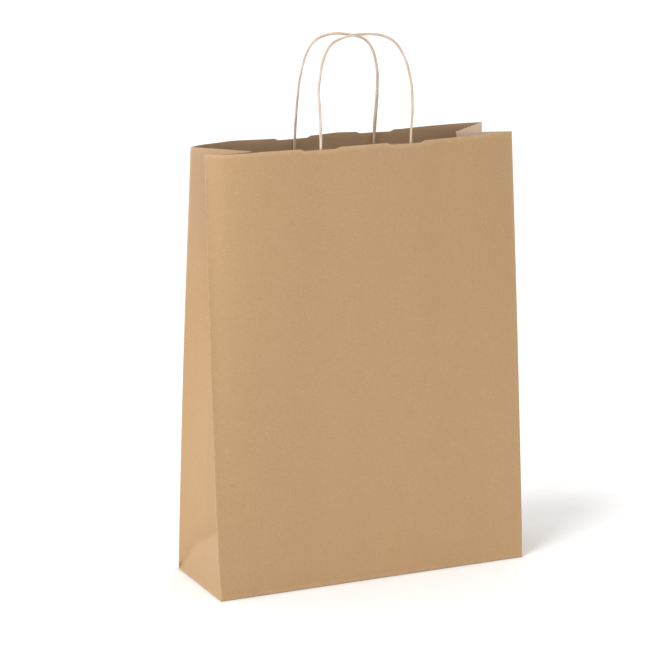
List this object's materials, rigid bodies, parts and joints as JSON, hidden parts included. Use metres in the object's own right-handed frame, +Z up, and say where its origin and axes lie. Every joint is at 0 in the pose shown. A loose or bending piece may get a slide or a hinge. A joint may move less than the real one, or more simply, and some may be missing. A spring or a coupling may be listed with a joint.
{
  "type": "paper gift bag",
  "caption": "Plain brown kraft paper carrier bag with a block bottom, pushed-in side gussets and two upright twisted-cord handles.",
  "frame": {"origin": "on the floor under the middle of the block bottom", "axes": "+Z up; +X to the right of someone facing the front panel; the front panel faces -Y"},
  "size_m": [0.32, 0.11, 0.523],
  "materials": {
    "kraft_paper": "uncoated, machine-ribbed kraft",
    "patch_paper": "uncoated kraft strip",
    "twisted_paper_cord": "twisted kraft paper, matt"
  },
  "bodies": {
    "base": {"bottom_back_flap": "kraft_paper", "bottom_front_flap": "kraft_paper", "bottom_left_tuck": "kraft_paper", "bottom_right_tuck": "kraft_paper", "left_gusset_foot": "kraft_paper", "left_gusset_front": "kraft_paper", "left_gusset_back": "kraft_paper", "right_gusset_foot": "kraft_paper", "right_gusset_front": "kraft_paper", "right_gusset_back": "kraft_paper"},
    "front_wall": {"front_panel": "kraft_paper", "front_patch_backing": "patch_paper", "front_patch_cover": "patch_paper", "front_cord_ends": "twisted_paper_cord"},
    "back_wall": {"back_panel": "kraft_paper", "back_patch_backing": "patch_paper", "back_patch_cover": "patch_paper", "back_cord_ends": "twisted_paper_cord", "tube_glue_lap": "kraft_paper"},
    "front_handle": {"front_cord_loop": "twisted_paper_cord"},
    "back_handle": {"back_cord_loop": "twisted_paper_cord"}
  },
  "joints": [
    {"name": "front_wall_tilt", "type": "hinge", "parent": "base", "child": "front_wall", "pos_m": [0, -0.055, 0], "axis": [-1, 0, 0], "range_deg": [-3, 1], "deforming": ["left_gusset_front", "right_gusset_front"]},
    {"name": "back_wall_tilt", "type": "hinge", "parent": "base", "child": "back_wall", "pos_m": [0, 0.055, 0], "axis": [1, 0, 0], "range_deg": [-3, 1], "deforming": ["left_gusset_back", "right_gusset_back"]},
    {"name": "front_handle_swing", "type": "hinge", "parent": "front_wall", "child": "front_handle", "pos_m": [-0.00615, -0.04466, 0.4176], "axis": [1, -0.0035, 0], "range_deg": [-11, 170]},
    {"name": "back_handle_swing", "type": "hinge", "parent": "back_wall", "child": "back_handle", "pos_m": [-0.0023, 0.03653, 0.4176], "axis": [-0.997, -0.0778, 0], "range_deg": [-7, 170]}
  ]
}
